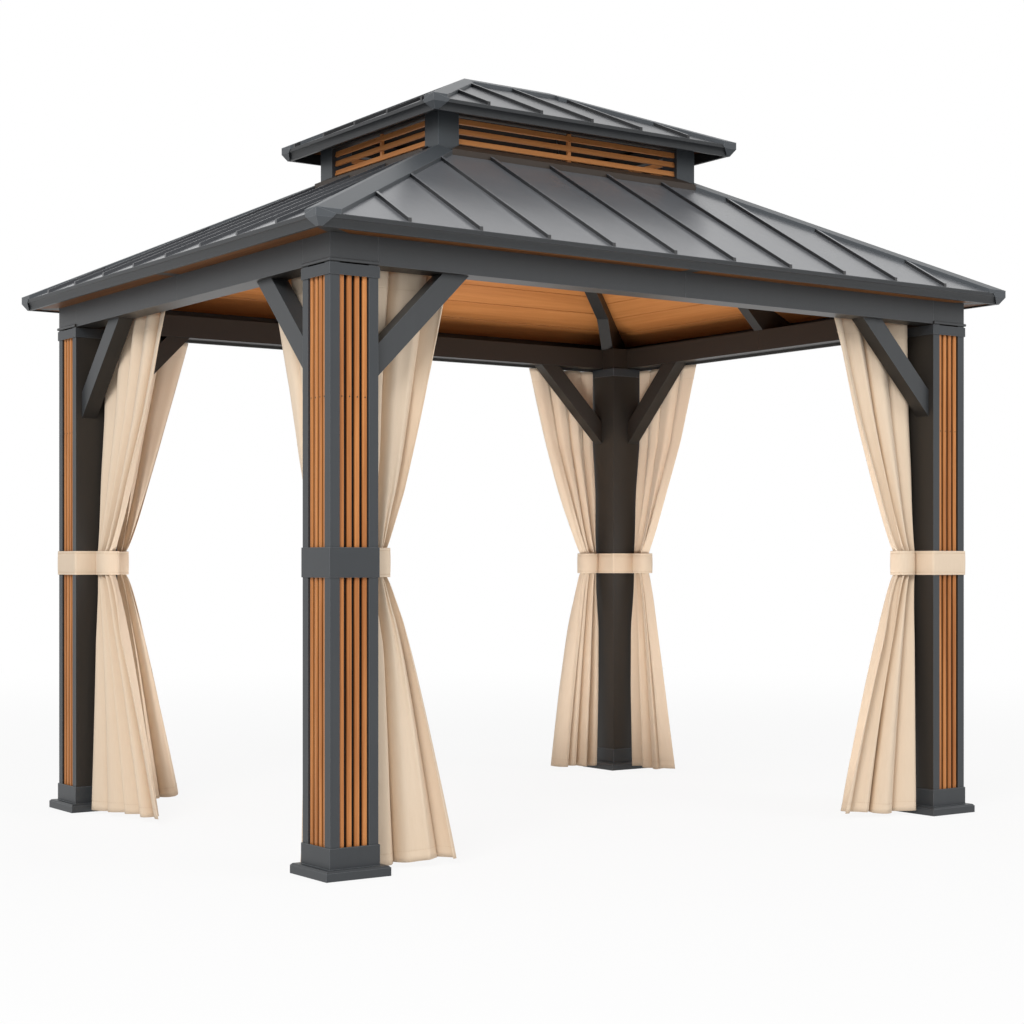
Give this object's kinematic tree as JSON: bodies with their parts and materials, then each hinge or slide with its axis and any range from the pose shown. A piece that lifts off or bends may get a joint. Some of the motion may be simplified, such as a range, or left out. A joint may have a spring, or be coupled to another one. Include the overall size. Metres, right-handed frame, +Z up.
{
  "type": "metal gazebo",
  "caption": "Open garden gazebo with slatted square posts, knee braces, a two-tier hipped metal roof with louvred vent, and tied-back curtains.",
  "frame": {"origin": "on the ground under the middle of the roof", "axes": "+Z up, +X along the long sides towards the right, the front faces -Y"},
  "size_m": [3.4526, 2.6926, 3.216],
  "materials": {
    "frame_metal": "satin charcoal powder coat",
    "roof_metal": "satin charcoal coated sheet",
    "wood_finish": "warm brown wood grain",
    "curtain_cloth": "beige woven cloth"
  },
  "bodies": {
    "root": {"back_beam": "frame_metal", "back_curtain_at_back_left": "curtain_cloth", "back_curtain_at_back_right": "curtain_cloth", "back_left_post": "frame_metal", "back_left_post_slats": "wood_finish", "back_right_post": "frame_metal", "back_right_post_slats": "wood_finish", "base_covers": "frame_metal", "corner_blocks": "frame_metal", "curtain_rails": "frame_metal", "curtain_ties": "curtain_cloth", "eave_soffits": "wood_finish", "front_beam": "frame_metal", "front_curtain_at_front_left": "curtain_cloth", "front_curtain_at_front_right": "curtain_cloth", "front_left_post": "frame_metal", "front_left_post_slats": "wood_finish", "front_right_post": "frame_metal", "front_right_post_slats": "wood_finish", "hip_rafters": "frame_metal", "knee_braces": "frame_metal", "left_beam": "frame_metal", "left_curtain_at_back_left": "curtain_cloth", "left_curtain_at_front_left": "curtain_cloth", "lower_back_eave_trim": "frame_metal", "lower_back_roof_sheet": "roof_metal", "lower_eave_corners": "frame_metal", "lower_front_eave_trim": "frame_metal", "lower_front_roof_sheet": "roof_metal", "lower_hip_caps": "roof_metal", "lower_left_eave_trim": "frame_metal", "lower_left_roof_sheet": "roof_metal", "lower_lining": "wood_finish", "lower_right_eave_trim": "frame_metal", "lower_right_roof_sheet": "roof_metal", "middle_rafters": "frame_metal", "post_caps": "frame_metal", "post_collars": "frame_metal", "right_beam": "frame_metal", "right_curtain_at_back_right": "curtain_cloth", "right_curtain_at_front_right": "curtain_cloth", "ring_back_bar": "frame_metal", "ring_front_bar": "frame_metal", "ring_left_bar": "frame_metal", "ring_right_bar": "frame_metal", "upper_back_roof_sheet": "roof_metal", "upper_eave_corners": "frame_metal", "upper_eave_trim": "frame_metal", "upper_front_roof_sheet": "roof_metal", "upper_left_roof_sheet": "roof_metal", "upper_lining": "wood_finish", "upper_right_roof_sheet": "roof_metal", "upper_roof_caps": "roof_metal", "vent_flashing": "roof_metal", "vent_head_bars": "frame_metal", "vent_louvres": "wood_finish", "vent_posts": "frame_metal"}
  },
  "joints": []
}
